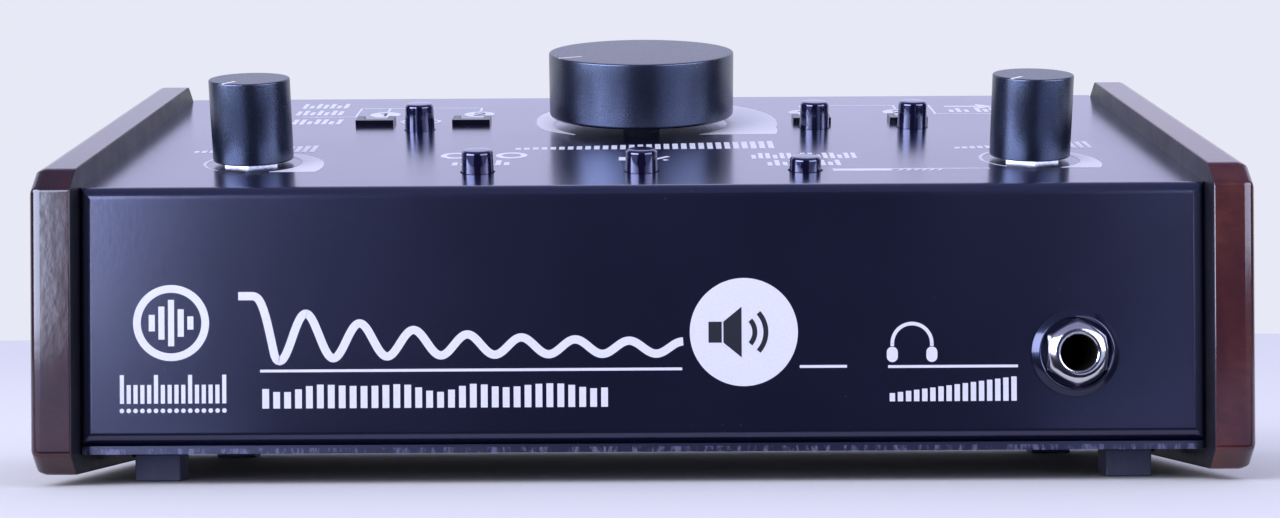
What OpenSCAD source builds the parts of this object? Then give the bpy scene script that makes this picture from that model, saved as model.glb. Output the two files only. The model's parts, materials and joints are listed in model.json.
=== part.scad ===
/* [Case] */
// Overall width over the two wooden cheeks
overall_w = 220; // [200:1:240]
// Depth of the metal case from front panel to rear panel
case_d = 99; // [97:1:104]
// Height of the front edge of the case, from the underside of the bottom plate
front_h = 48.1; // [46:0.1:52]
// Slope of the control panel in degrees, rising to the rear
slope = 15.6; // [14:0.1:17]
// Thickness of the folded steel sheet
sheet_t = 1.2; // [1:0.1:1.5]
// Outer radius of the folded edges
bend_r = 2.4; // [1.6:0.1:2.6]
// Outer radius of the ground edges of the rear panel
rear_r = 1; // [0.6:0.1:1.1]
// Thickness of the bottom plate
plate_t = 1.5; // [1:0.1:2]

/* [Cheeks] */
// Thickness of a wooden cheek
cheek_t = 7.7; // [7:0.1:9]
// How far the cheeks stand in front of the front panel
cheek_front = 5; // [3:0.5:8]
// How far the cheeks stand above the control panel
cheek_rise = 3.8; // [2:0.1:5]
// How far the cheeks reach below the bottom plate
cheek_drop = 3.6; // [2:0.1:4.5]
// Size of the bevels on the cheek corners
cheek_bevel = 3.8; // [2:0.1:5]
// Length of the longer bevel at the upper rear corner
cheek_rear_bevel = 7.1; // [5:0.1:9]

/* [Feet] */
// Height of the rubber feet
foot_h = 5.6; // [5:0.1:8]
// Width of a foot
foot_w = 8.5; // [8:0.5:12]
// Depth of a foot
foot_d = 7; // [6:0.5:12]

/* [Knobs] */
// Radius of the two small knobs
small_knob_r = 7.65; // [7:0.05:8.5]
// Height of the small knobs' top face above the panel
small_knob_top = 16.4; // [15.5:0.1:18]
// Gap between the small knobs and the panel
small_knob_gap = 0.8; // [0.6:0.1:1.2]
// Distance of the small knobs from the middle of the panel
small_knob_x = 74.7; // [72:0.1:78]
// Distance of the small knobs up the slope from the front edge
small_knob_s = 24.4; // [23:0.1:26]
// Radius of the volume knob
volume_knob_r = 19.4; // [18:0.1:21]
// Height of the volume knob's top face above the panel
volume_knob_top = 15.4; // [14.5:0.1:17]
// Gap between the volume knob and the panel
volume_knob_gap = 2; // [1.5:0.1:2.5]
// Distance of the volume knob up the slope from the front edge
volume_s = 66.6; // [65:0.1:68]
// Turn of the volume knob's pointer at rest, clockwise from straight back
volume_turn = -118; // [-150:1:150]
// Turn of the source knob's pointer at rest, clockwise from straight back
source_turn = -150; // [-150:1:150]
// Turn of the headphone knob's pointer at rest, clockwise from straight back
headphone_turn = -138; // [-150:1:150]

/* [Buttons] */
// Radius of a button cap at its base
cap_r = 3.15; // [2.9:0.05:3.2]
// Distance of the front row of buttons up the slope from the front edge
front_row_s = 14.4; // [14:0.1:16]
// Spacing of the front row of buttons
front_row_pitch = 30.8; // [29:0.1:32]
// Distance of the rear row of buttons up the slope from the front edge
rear_row_s = 60.6; // [60:0.1:61]
// Distance of the inner output button from the middle of the panel
inner_x = 36.2; // [35:0.1:37]
// Distance of the outer output button from the middle of the panel
outer_x = 56.7; // [55:0.1:58]
// Height of a raised cap in the front row
front_cap_out = 4.3; // [4.2:0.1:4.6]
// Height of a raised cap in the rear row
rear_cap_out = 5.6; // [5.2:0.1:6]
// How far a latched cap stays down
latch_depth = 1.56; // [1:0.02:1.6]

/* [Headphone socket] */
// Distance of the headphone socket from the middle of the front panel
headphone_x = 78.4; // [76:0.1:80]
// Height of the headphone socket above the underside of the bottom plate
headphone_z = 17.6; // [17:0.1:19]
// Radius of a 6.35 mm socket's sleeve bore
jack_bore_r = 3.3; // [3.25:0.05:3.4]

/* [Hidden] */
$fn = 48;

// Overlap that lets a cutter pass clean through a face
eps = 0.01;

// Case
shell_w = overall_w - 2 * cheek_t;
cavity_w = shell_w - 2 * sheet_t;
rise = tan(slope);
rear_h = front_h + case_d * rise;
panel_drop = sheet_t / cos(slope);

// Flanges folded inwards along the foot of the front and rear panels
flange_d = 9;

// Fixing tabs along the foot of the side walls
tab_l = 12;
tab_w = 8;
tab_ys = [27, 49.5, 72];
plate_hole_r = 1.7;
tab_hole_r = 1.5;
plate_screw_inset = 4.5;

// Cheek screws, as depth and height pairs
cheek_screw_places = [[20, 20], [80, 20], [50, 38]];
cheek_screw_hole_r = 2;
pilot_r = 1.5;
pilot_depth = 6;

// Feet
foot_x = 90.2;
foot_front_y = 9.5;
foot_rear_y = case_d - foot_front_y - foot_d;

// Six sockets in the rear panel, plus a small one and the power inlet
rear_socket_z = 20;
input_xs = [-80, -60];
output_xs = [-20, 0, 20, 40];
aux_x = -40;
inlet_x = 78;

// 6.35 mm socket
jack_body_w = 14;
jack_body_l = 24.15;
jack_out = 2.9;
jack_bush_r = 4.5;
jack_hole_r = 4.7;
jack_sleeve_l = 10;
jack_cavity_r = 4.2;
jack_nut_af = 11;
jack_nut_h = 2.2;
jack_lip_h = 0.9;
bezel_r = 7.95;
bezel_face_r = 6.75;
bezel_h = 1.4;
bezel_floor = 0.4;

// Small round sockets
aux_bush_r = 3;
aux_bore_r = 1.8;
aux_out = 1.2;
inlet_ring_r = 4.2;
inlet_bore_r = 2.75;
inlet_pin_r = 1;
inlet_out = 0.6;

// Frame: origin on the table under the middle of the whole object
rear_y = case_d + jack_out;
mid_y = (rear_y - cheek_front) / 2;

// Boards
board_top = -15;
board_t = 1.6;
board_x = 92;
board_s0 = 7;
board_s1 = 88;
rear_board_y = case_d - sheet_t - jack_body_l - board_t;
rear_board_z0 = 5;
rear_board_z1 = 38;
rear_board_x = 94;
standoff_places = [[-56, 18], [56, 18], [-86, 81], [86, 81]];
standoff_af = 5.5;
m3_tap_r = 1.25;

// Potentiometers
shaft_r = 3;
shaft_bore_r = 3.05;
knob_bore_r = 3.03;
shaft_flat = 2.5;
small_pot_r = 8.25;
small_pot_l = 9;
small_bush_r = 3.5;
small_bush_top = 4.2;
small_nut_af = 10;
small_shaft_top = 13.4;
volume_pot_w = 27;
volume_pot_l = 22;
volume_bush_r = 4.5;
volume_bush_top = 6;
volume_nut_af = 13;
volume_shaft_top = 12.8;
washer_t = 0.5;
nut_h = 2;
nut_gap = 0.03;
panel_hole_gap = 0.15;
knob_chamfer = 0.35;
knob_foot_chamfer = 0.3;
small_recess_r = 6.4;
small_recess_top = 4.8;
volume_recess_r = 15.5;
volume_recess_top = 7;
groove_w = 0.6;
groove_d = 0.2;
small_groove_in = 3.9;
volume_groove_in = 13.9;
set_screw_r = 1.45;
set_hole_r = 1.5;
set_socket_af = 1.5;

// Push switches
button_hole_r = 3.3;
cap_top_r = 2.95;
cap_l = 8.2;
cap_chamfer = 0.35;
cap_roof = 1.2;
stem_w = 3;
stem_reach = -10.5;
switch_w = 8.5;
switch_top = -6.5;
channel_w = 3.5;
channel_floor = -14;
pin_w = 0.6;

// Status lamps
lamp_xs = [-outer_x, -inner_x, inner_x, outer_x];
lamp_s = 68.75;
lamp_w = 8;
lamp_d = 5.5;
lamp_h = 1.15;
lamp_slot_w = 5;
lamp_bar = 1.5;
lamp_floor = 0.3;
lamp_stem_w = 6.8;
lamp_stem_d = 4.2;
lamp_stem_l = 3;
lamp_cut_gap = 0.1;
lens_top = 0.8;
lens_d = 2.6;
lens_foot = -13.6;

// Places and heights of the six buttons: x, s, height of the cap, and how far it is latched down
mono_place = [-front_row_pitch, front_row_s, front_cap_out, 0];
mute_place = [0, front_row_s, front_cap_out, 0];
solo_place = [front_row_pitch, front_row_s, front_cap_out, latch_depth];
input_place = [-(inner_x + outer_x) / 2, rear_row_s, rear_cap_out, 0];
output_a_place = [inner_x, rear_row_s, rear_cap_out, 0];
output_b_place = [outer_x, rear_row_s, rear_cap_out, 0];
button_places = [mono_place, mute_place, solo_place, input_place, output_a_place, output_b_place];

// ---- Frames ----

// Case frame: front panel at y = 0, underside of the bottom plate at z = 0
module in_case() {
    translate([0, -mid_y, foot_h]) children();
}

// Control panel frame: x across, y up the slope, z out of the panel
module on_top(x, s) {
    in_case() translate([x, 0, front_h]) rotate([slope, 0, 0]) translate([0, s, 0]) children();
}

// Front panel frame: z points out of the front
module on_front(x, z) {
    in_case() translate([x, 0, z]) rotate([90, 0, 0]) children();
}

// Rear panel frame: z points out of the rear
module on_rear(x, z) {
    in_case() translate([x, case_d, z]) rotate([-90, 0, 0]) children();
}

// Turns a shape about the panel's normal, clockwise as the user sees it
module turned(angle) {
    rotate([0, 0, -angle]) children();
}

// ---- Small shared shapes ----

// Cylinder between two heights
module rod(r, low, high) {
    translate([0, 0, low]) cylinder(r = r, h = high - low);
}

// Square bar centred on the axis between two heights
module bar(w, d, low, high) {
    translate([-w / 2, -d / 2, low]) cube([w, d, high - low]);
}

// Hexagonal bar measured across its flats
module hex_bar(af, low, high) {
    translate([0, 0, low]) cylinder(r = af / 2 / cos(30), h = high - low, $fn = 6);
}

// Hexagon nut with its outer corners chamfered
module hex_nut(af, hole_r, low, high) {
    corner_r = af / 2 / cos(30);
    edge = (corner_r - af / 2) * 0.6;
    difference() {
        intersection() {
            hex_bar(af, low, high);
            union() {
                rod(corner_r + 1, low, high - edge);
                translate([0, 0, high - edge]) cylinder(r1 = corner_r, r2 = corner_r - 2 * edge, h = edge);
            }
        }
        rod(hole_r, low - eps, high + eps);
    }
}

module washer(outer_r, hole_r, low, high) {
    difference() {
        rod(outer_r, low, high);
        rod(hole_r, low - eps, high + eps);
    }
}

// ---- Case ----

// Side outline of the case, with rounded folds in front and smaller ground edges at the rear
module shell_outline() {
    front_z = front_h + bend_r * rise - bend_r / cos(slope);
    rear_z = front_h + (case_d - rear_r) * rise - rear_r / cos(slope);
    polygon([
        [bend_r, plate_t],
        [0, plate_t + bend_r],
        [0, front_z],
        [bend_r - bend_r * sin(slope), front_z + bend_r * cos(slope)],
        [case_d - rear_r - rear_r * sin(slope), rear_z + rear_r * cos(slope)],
        [case_d, rear_z],
        [case_d, plate_t + rear_r],
        [case_d - rear_r, plate_t]
    ]);
    for (z = [plate_t + bend_r, front_z]) translate([bend_r, z]) circle(r = bend_r);
    for (z = [plate_t + rear_r, rear_z]) translate([case_d - rear_r, z]) circle(r = rear_r);
}

// Side outline of the space inside the sheet, with the opening between the two foot flanges
module cavity_outline() {
    roof = front_h - panel_drop;
    polygon([
        [sheet_t, plate_t + sheet_t],
        [sheet_t, roof + sheet_t * rise],
        [case_d - sheet_t, roof + (case_d - sheet_t) * rise],
        [case_d - sheet_t, plate_t + sheet_t]
    ]);
    translate([flange_d, 0]) square([case_d - 2 * flange_d, plate_t + sheet_t + 1]);
}

// Stands a y-z outline up and gives it a width, centred on x = 0
module across(w) {
    translate([-w / 2, 0, 0]) rotate([90, 0, 90]) linear_extrude(w) children();
}

// Plan of the case: a rectangle with round corners, from true arcs
module case_plan() {
    front_x = shell_w / 2 - bend_r;
    rear_x = shell_w / 2 - rear_r;
    polygon([
        [-front_x, 0],
        [front_x, 0],
        [shell_w / 2, bend_r],
        [shell_w / 2, case_d - rear_r],
        [rear_x, case_d],
        [-rear_x, case_d],
        [-shell_w / 2, case_d - rear_r],
        [-shell_w / 2, bend_r]
    ]);
    for (side = [-1, 1]) {
        translate([side * front_x, bend_r]) circle(r = bend_r);
        translate([side * rear_x, case_d - rear_r]) circle(r = rear_r);
    }
}

// Solid wedge with every fold rounded, before the inside is cut away
module folded_block() {
    intersection() {
        across(shell_w) shell_outline();
        linear_extrude(rear_h + 1) case_plan();
    }
}

module fixing_tabs() {
    for (side = [-1, 1], y = tab_ys) {
        x = side > 0 ? cavity_w / 2 - tab_w : -cavity_w / 2;
        translate([x, y - tab_l / 2, plate_t]) cube([tab_w, tab_l, sheet_t]);
    }
}

module lamp_cutout() {
    bar(lamp_stem_w + 2 * lamp_cut_gap, lamp_stem_d + 2 * lamp_cut_gap, -sheet_t - 1, 1);
}

module top_panel_holes() {
    for (x = [-small_knob_x, small_knob_x]) {
        on_top(x, small_knob_s) rod(small_bush_r + panel_hole_gap, -sheet_t - 1, 1);
    }
    on_top(0, volume_s) rod(volume_bush_r + panel_hole_gap, -sheet_t - 1, 1);
    for (place = button_places) {
        on_top(place[0], place[1]) rod(button_hole_r, -sheet_t - 1, 1);
    }
    for (x = lamp_xs) on_top(x, lamp_s) lamp_cutout();
}

module rear_socket_holes() {
    for (x = concat(input_xs, output_xs)) on_rear(x, rear_socket_z) rod(jack_hole_r, -sheet_t - 1, 1);
    on_rear(aux_x, rear_socket_z) rod(aux_bush_r + panel_hole_gap, -sheet_t - 1, 1);
    on_rear(inlet_x, rear_socket_z) rod(inlet_ring_r + panel_hole_gap, -sheet_t - 1, 1);
}

// Everything of the case in front of the flat rear panel, or behind that plane
module split_at_rear(side) {
    shift = side > 0 ? 0 : -2 * case_d;
    intersection() {
        children();
        translate([-shell_w, case_d - sheet_t + shift, 0]) cube([2 * shell_w, 2 * case_d, rear_h + 1]);
    }
}

// Front panel, control panel and side walls, folded from one sheet
module chassis_shell() {
    color([0.07, 0.07, 0.09]) difference() {
        in_case() {
            split_at_rear(-1) difference() {
                folded_block();
                across(cavity_w) cavity_outline();
            }
            fixing_tabs();
        }
        top_panel_holes();
        on_front(headphone_x, headphone_z) rod(jack_hole_r, -sheet_t - 1, 1);
        in_case() for (y = tab_ys, side = [-1, 1]) {
            translate([side * (cavity_w / 2 - plate_screw_inset), y, 0]) rod(tab_hole_r, 0, plate_t + sheet_t + 1);
        }
        in_case() for (place = cheek_screw_places) {
            translate([0, place[0], place[1]]) rotate([0, 90, 0]) rod(cheek_screw_hole_r, -shell_w, shell_w);
        }
    }
}

// Flat rear panel, welded to the rear edges of the folded sheet
module rear_panel() {
    color([0.07, 0.07, 0.09]) difference() {
        in_case() split_at_rear(1) folded_block();
        rear_socket_holes();
    }
}

module bottom_plate() {
    color([0.08, 0.08, 0.09]) in_case() difference() {
        linear_extrude(plate_t) case_plan();
        for (y = tab_ys, side = [-1, 1]) {
            translate([side * (cavity_w / 2 - plate_screw_inset), y, 0]) rod(plate_hole_r, -1, plate_t + 1);
        }
    }
}

// Side outline of a cheek: the case outline set outwards, with bevelled corners
module cheek_outline() {
    crest = front_h + cheek_rise / cos(slope);
    front_y = -cheek_front;
    bevel_y = front_y + cheek_bevel + 0.2;
    rear_bevel_y = case_d - cheek_rear_bevel;
    polygon([
        [front_y, -cheek_drop + cheek_bevel],
        [front_y, crest + bevel_y * rise - cheek_bevel],
        [bevel_y, crest + bevel_y * rise],
        [rear_bevel_y, crest + rear_bevel_y * rise],
        [case_d, crest + rear_bevel_y * rise - cheek_rear_bevel * tan(45 - slope)],
        [case_d, -cheek_drop + cheek_bevel],
        [case_d - cheek_bevel, -cheek_drop],
        [front_y + cheek_bevel, -cheek_drop]
    ]);
}

module cheek(side) {
    color([0.24, 0.06, 0.05]) in_case() difference() {
        translate([side * (overall_w - cheek_t) / 2, 0, 0]) across(cheek_t) cheek_outline();
        for (place = cheek_screw_places) {
            translate([side * shell_w / 2, place[0], place[1]]) rotate([0, side * 90, 0]) rod(pilot_r, -1, pilot_depth);
        }
    }
}

module left_cheek() {
    cheek(-1);
}

module right_cheek() {
    cheek(1);
}

module foot(side, y) {
    color([0.14, 0.15, 0.17]) in_case() {
        translate([side * foot_x - foot_w / 2, y, -foot_h]) cube([foot_w, foot_d, foot_h]);
    }
}

module foot_front_left() {
    foot(-1, foot_front_y);
}

module foot_front_right() {
    foot(1, foot_front_y);
}

module foot_rear_left() {
    foot(-1, foot_rear_y);
}

module foot_rear_right() {
    foot(1, foot_rear_y);
}

// Wood screws driven from inside the case through the side wall into a cheek
module cheek_screws(side) {
    head_r = 3.2;
    head_h = 2;
    thread_r = 1.45;
    thread_end = 5.5;
    slot_w = 0.8;
    color("silver") in_case() for (place = cheek_screw_places) {
        translate([side * cavity_w / 2, place[0], place[1]]) rotate([0, side * 90, 0]) difference() {
            union() {
                rod(head_r, -head_h, 0);
                rod(thread_r, -eps, sheet_t + thread_end);
            }
            bar(slot_w, 2 * head_r - 1, -head_h - 1, -head_h + 0.8);
            bar(2 * head_r - 1, slot_w, -head_h - 1, -head_h + 0.8);
        }
    }
}

module left_cheek_screws() {
    cheek_screws(-1);
}

module right_cheek_screws() {
    cheek_screws(1);
}

// Pan head screws that hold the bottom plate to the tabs
module bottom_screws() {
    head_r = 2.8;
    head_h = 1.9;
    thread_r = 1.45;
    thread_l = 7;
    socket_af = 2;
    color("dimgray") in_case() for (y = tab_ys, side = [-1, 1]) {
        translate([side * (cavity_w / 2 - plate_screw_inset), y, 0]) difference() {
            union() {
                rod(head_r, -head_h, 0);
                rod(thread_r, -eps, thread_l);
            }
            hex_bar(socket_af, -head_h - 1, -head_h + 1.2);
        }
    }
}

// ---- Boards ----

module main_board() {
    cut_w = volume_pot_w + 2;
    color("darkgreen") difference() {
        on_top(0, 0) translate([-board_x, board_s0, board_top - board_t]) {
            cube([2 * board_x, board_s1 - board_s0, board_t]);
        }
        on_top(0, volume_s) bar(cut_w, cut_w, board_top - board_t - 1, board_top + 1);
        for (place = standoff_places) {
            on_top(place[0], place[1]) rod(plate_hole_r, board_top - board_t - 1, board_top + 1);
        }
    }
}

module board_standoffs() {
    color("goldenrod") for (place = standoff_places) {
        on_top(place[0], place[1]) difference() {
            hex_bar(standoff_af, board_top, -sheet_t);
            rod(m3_tap_r, board_top - 1, board_top + 10);
        }
    }
}

module board_screws() {
    head_r = 2.75;
    head_h = 1.8;
    thread_l = 8;
    under = board_top - board_t;
    color("silver") for (place = standoff_places) {
        on_top(place[0], place[1]) difference() {
            union() {
                rod(head_r, under - head_h, under);
                rod(m3_tap_r - 0.05, under - eps, under + thread_l);
            }
            bar(0.8, 2 * head_r - 1, under - head_h - 1, under - head_h + 0.8);
            bar(2 * head_r - 1, 0.8, under - head_h - 1, under - head_h + 0.8);
        }
    }
}

// Soldered parts on the upper side of the main board
module board_parts() {
    chip = [9.5, 6.5, 3.4];
    relay = [10, 20, 9];
    can_r = 3.2;
    can_h = 10;
    led = [3, 2, 1.2];
    color([0.15, 0.15, 0.16]) {
        for (x = [-24, 24]) on_top(x, 38) bar(chip[0], chip[1], board_top, board_top + chip[2]);
        for (x = [-40, 40]) on_top(x, 36) bar(relay[0], relay[1], board_top, board_top + relay[2]);
        for (x = [62, 70, 78, 86]) on_top(x, 46) rod(can_r, board_top, board_top + can_h);
        for (x = lamp_xs) on_top(x, lamp_s) bar(led[0], led[1], board_top, board_top + led[2]);
    }
}

module rear_board() {
    color("darkgreen") in_case() translate([-rear_board_x, rear_board_y, rear_board_z0]) {
        cube([2 * rear_board_x, board_t, rear_board_z1 - rear_board_z0]);
    }
}

// Flat cable from the rear board up to the underside of the main board
module ribbon_cable() {
    cable_w = 20;
    cable_x = -30;
    cable_t = 1;
    turn_r = 3;
    leave_z = 34;
    rise_y = rear_board_y - 2 - turn_r;
    roof = front_h + (board_top - board_t) / cos(slope) + rise_y * rise;
    color("gray") in_case() translate([cable_x, 0, 0]) across(cable_w) {
        translate([rise_y + turn_r, leave_z - cable_t]) square([2, cable_t]);
        translate([rise_y, leave_z - cable_t + turn_r]) square([cable_t, roof - leave_z + cable_t - turn_r - 0.3]);
        translate([rise_y + turn_r, leave_z - cable_t + turn_r]) intersection() {
            difference() {
                circle(r = turn_r);
                circle(r = turn_r - cable_t);
            }
            translate([-turn_r, -turn_r]) square([turn_r, turn_r]);
        }
    }
}

// Three wires from the headphone socket up to the main board
module headphone_wires() {
    wire_r = 0.6;
    wire_y = sheet_t + jack_body_l - 2;
    low = headphone_z + jack_body_w / 2;
    high = front_h + (board_top - board_t) / cos(slope) + wire_y * rise - 0.2;
    color("firebrick") in_case() for (x = [-4, 0, 4]) {
        translate([headphone_x + x, wire_y, 0]) rod(wire_r, low, high);
    }
}

// ---- Knobs and potentiometers ----

// Turned aluminium knob with a bored hub, a hollow underside and a pointer groove along +y
module knob(r, gap, top, recess_r, recess_top, bore_top, groove_in) {
    screw_z = (recess_top + bore_top) / 2;
    difference() {
        rotate_extrude() polygon([
            [0, gap],
            [r - knob_foot_chamfer, gap],
            [r, gap + knob_foot_chamfer],
            [r, top - knob_chamfer],
            [r - knob_chamfer, top],
            [0, top]
        ]);
        rod(recess_r, gap - 1, recess_top);
        rod(knob_bore_r, gap - 1, bore_top);
        translate([0, 0, screw_z]) rotate([90, 0, 0]) rod(set_hole_r, 0, r + 1);
        translate([-groove_w / 2, groove_in, top - groove_d]) cube([groove_w, r, 1]);
    }
}

// Grub screw that clamps a knob on the flat of its shaft
module set_screw(screw_z, length) {
    translate([0, 0, screw_z]) rotate([90, 0, 0]) difference() {
        rod(set_screw_r, shaft_flat, shaft_flat + length);
        hex_bar(set_socket_af, shaft_flat + length - 2, shaft_flat + length + 1);
    }
}

// Shaft with a flat on the side of the grub screw
module shaft(low, flat_low, top) {
    difference() {
        rod(shaft_r, low, top);
        translate([-shaft_r - 1, -shaft_r - 1, flat_low]) cube([2 * shaft_r + 2, shaft_r + 1 - shaft_flat, top]);
    }
}

module small_knob() {
    color([0.1, 0.1, 0.12]) knob(small_knob_r, small_knob_gap, small_knob_top, small_recess_r,
        small_recess_top, small_shaft_top, small_groove_in);
}

module small_set_screw() {
    color("dimgray") set_screw((small_recess_top + small_shaft_top) / 2, 4);
}

module small_shaft() {
    low = -sheet_t - washer_t - small_pot_l + 1.5;
    color("silver") shaft(low, small_recess_top, small_shaft_top - 0.2);
}

// Round potentiometer under the panel, with its threaded bushing through the panel
module small_pot() {
    seat = -sheet_t - washer_t;
    under = seat - small_pot_l;
    color("silver") difference() {
        union() {
            rod(small_pot_r, under, seat);
            rod(small_bush_r, seat - eps, small_bush_top);
            for (x = [-5, 0, 5]) translate([x, -6, 0]) bar(1, pin_w, board_top, under + 0.5);
        }
        rod(shaft_bore_r, under + 1, small_bush_top + 1);
    }
}

// Nut with a corner towards the front
module small_pot_nut() {
    color("silver") rotate([0, 0, 30]) hex_nut(small_nut_af, small_bush_r + nut_gap, 0, nut_h);
}

// Lock washer between the potentiometer and the underside of the panel
module small_pot_washer() {
    color("silver") washer(6, small_bush_r + nut_gap, -sheet_t - washer_t, -sheet_t);
}

module volume_knob() {
    color([0.1, 0.1, 0.12]) on_top(0, volume_s) turned(volume_turn) knob(volume_knob_r,
        volume_knob_gap, volume_knob_top, volume_recess_r, volume_recess_top, volume_shaft_top,
        volume_groove_in);
}

module volume_knob_screw() {
    color("dimgray") on_top(0, volume_s) turned(volume_turn) {
        set_screw((volume_recess_top + volume_shaft_top) / 2, 8);
    }
}

module volume_shaft() {
    low = -sheet_t - washer_t - volume_pot_l + 4;
    color("silver") on_top(0, volume_s) turned(volume_turn) {
        shaft(low, volume_recess_top, volume_shaft_top - 0.2);
    }
}

// Large dual potentiometer that hangs in a cut-out of the main board
module volume_pot() {
    seat = -sheet_t - washer_t;
    under = seat - volume_pot_l;
    tag_reach = 2.5;
    color("silver") on_top(0, volume_s) difference() {
        union() {
            bar(volume_pot_w, volume_pot_w, under, seat);
            rod(volume_bush_r, seat - eps, volume_bush_top);
            for (x = [-8, -4, 0, 4, 8]) {
                translate([x - 0.5, -volume_pot_w / 2 - tag_reach, board_top]) cube([1, tag_reach + 1, 0.4]);
            }
        }
        rod(shaft_bore_r, under + 3, volume_bush_top + 1);
    }
}

module volume_pot_nut() {
    color("silver") on_top(0, volume_s) hex_nut(volume_nut_af, volume_bush_r + nut_gap, 0, nut_h);
}

module volume_pot_washer() {
    color("silver") on_top(0, volume_s) washer(8, volume_bush_r + nut_gap, -sheet_t - washer_t, -sheet_t);
}

module source_knob() {
    on_top(-small_knob_x, small_knob_s) turned(source_turn) small_knob();
}

module source_knob_screw() {
    on_top(-small_knob_x, small_knob_s) turned(source_turn) small_set_screw();
}

module source_shaft() {
    on_top(-small_knob_x, small_knob_s) turned(source_turn) small_shaft();
}

module source_pot() {
    on_top(-small_knob_x, small_knob_s) small_pot();
}

module source_pot_nut() {
    on_top(-small_knob_x, small_knob_s) small_pot_nut();
}

module source_pot_washer() {
    on_top(-small_knob_x, small_knob_s) small_pot_washer();
}

module headphone_knob() {
    on_top(small_knob_x, small_knob_s) turned(headphone_turn) small_knob();
}

module headphone_knob_screw() {
    on_top(small_knob_x, small_knob_s) turned(headphone_turn) small_set_screw();
}

module headphone_shaft() {
    on_top(small_knob_x, small_knob_s) turned(headphone_turn) small_shaft();
}

module headphone_pot() {
    on_top(small_knob_x, small_knob_s) small_pot();
}

module headphone_pot_nut() {
    on_top(small_knob_x, small_knob_s) small_pot_nut();
}

module headphone_pot_washer() {
    on_top(small_knob_x, small_knob_s) small_pot_washer();
}

// ---- Push buttons ----

// Tapered cap with a square socket for the switch stem
module button_cap(place) {
    top = place[2] - place[3];
    low = top - cap_l;
    color([0.05, 0.05, 0.07]) on_top(place[0], place[1]) difference() {
        rotate_extrude() polygon([
            [0, low],
            [cap_r, low],
            [cap_top_r, top - cap_chamfer],
            [cap_top_r - cap_chamfer, top],
            [0, top]
        ]);
        bar(stem_w, stem_w, low - 1, top - cap_roof);
    }
}

// Square stem of a latching switch
module button_plunger(place) {
    color("ivory") on_top(place[0], place[1]) {
        bar(stem_w, stem_w, stem_reach - place[3], place[2] - place[3] - cap_roof);
    }
}

module switch_bodies() {
    row_gap = 5;
    color([0.2, 0.2, 0.22]) for (place = button_places) on_top(place[0], place[1]) difference() {
        bar(switch_w, switch_w, board_top, switch_top);
        bar(channel_w, channel_w, channel_floor, switch_top + 1);
        for (side = [-1, 1]) translate([side * switch_w / 2, 0, 0]) bar(0.6, row_gap, board_top - 1, board_top + 1);
    }
}

module mono_cap() {
    button_cap(mono_place);
}

module mute_cap() {
    button_cap(mute_place);
}

module solo_cap() {
    button_cap(solo_place);
}

module input_cap() {
    button_cap(input_place);
}

module output_a_cap() {
    button_cap(output_a_place);
}

module output_b_cap() {
    button_cap(output_b_place);
}

module mono_plunger() {
    button_plunger(mono_place);
}

module mute_plunger() {
    button_plunger(mute_place);
}

module solo_plunger() {
    button_plunger(solo_place);
}

module input_plunger() {
    button_plunger(input_place);
}

module output_a_plunger() {
    button_plunger(output_a_place);
}

module output_b_plunger() {
    button_plunger(output_b_place);
}

// ---- Status lamps ----

// Low black hoods, open to the rear, with a stem through the panel
module lamp_bezels() {
    color([0.06, 0.06, 0.07]) for (x = lamp_xs) on_top(x, lamp_s) difference() {
        union() {
            bar(lamp_w, lamp_d, 0, lamp_h);
            bar(lamp_stem_w, lamp_stem_d, -lamp_stem_l, eps);
        }
        translate([-lamp_slot_w / 2, -lamp_d / 2 + lamp_bar, lamp_floor]) cube([lamp_slot_w, lamp_d, lamp_h]);
        bar(lamp_slot_w, lens_d, -lamp_stem_l - 1, lamp_h);
    }
}

// Clear light guides from the diodes on the board up to the hoods
module lamp_lenses() {
    color([0.6, 0.62, 0.68]) for (x = lamp_xs) on_top(x, lamp_s) bar(lamp_slot_w, lens_d, lens_foot, lens_top);
}

// ---- Sockets ----

// 6.35 mm socket: body behind the panel, threaded bushing through it
module jack_socket() {
    back = -sheet_t - jack_body_l;
    sleeve_end = jack_out - jack_sleeve_l;
    difference() {
        union() {
            bar(jack_body_w, jack_body_w, back, -sheet_t);
            rod(jack_bush_r, -sheet_t - eps, jack_out);
        }
        rod(jack_bore_r, sleeve_end - eps, jack_out + 1);
        rod(jack_cavity_r, back + 1.5, sleeve_end);
    }
}

module headphone_socket() {
    color([0.16, 0.16, 0.18]) on_front(headphone_x, headphone_z) jack_socket();
}

// Domed chrome nut whose front lip covers the end of the bushing
module headphone_socket_nut() {
    skirt_r = jack_nut_af / 2 / cos(30);
    dome_low = 1.9;
    dome_top = jack_out + jack_lip_h;
    color("silver") on_front(headphone_x, headphone_z) difference() {
        intersection() {
            hex_bar(jack_nut_af, bezel_floor, dome_top);
            union() {
                rod(skirt_r + 1, bezel_floor, dome_low);
                translate([0, 0, dome_low]) {
                    cylinder(r1 = skirt_r, r2 = jack_bore_r + 0.7, h = dome_top - dome_low);
                }
            }
        }
        rod(jack_bush_r + nut_gap, bezel_floor - 1, jack_out);
        rod(jack_bore_r, jack_out - 1, dome_top + 1);
    }
}

// Black dished ring around the socket
module headphone_socket_bezel() {
    color([0.04, 0.04, 0.05]) on_front(headphone_x, headphone_z) difference() {
        cylinder(r1 = bezel_r, r2 = bezel_face_r, h = bezel_h);
        translate([0, 0, bezel_floor]) cylinder(r = bezel_face_r - 0.3, h = bezel_h);
        rod(jack_bush_r + 0.05, -1, bezel_h);
    }
}

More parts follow.
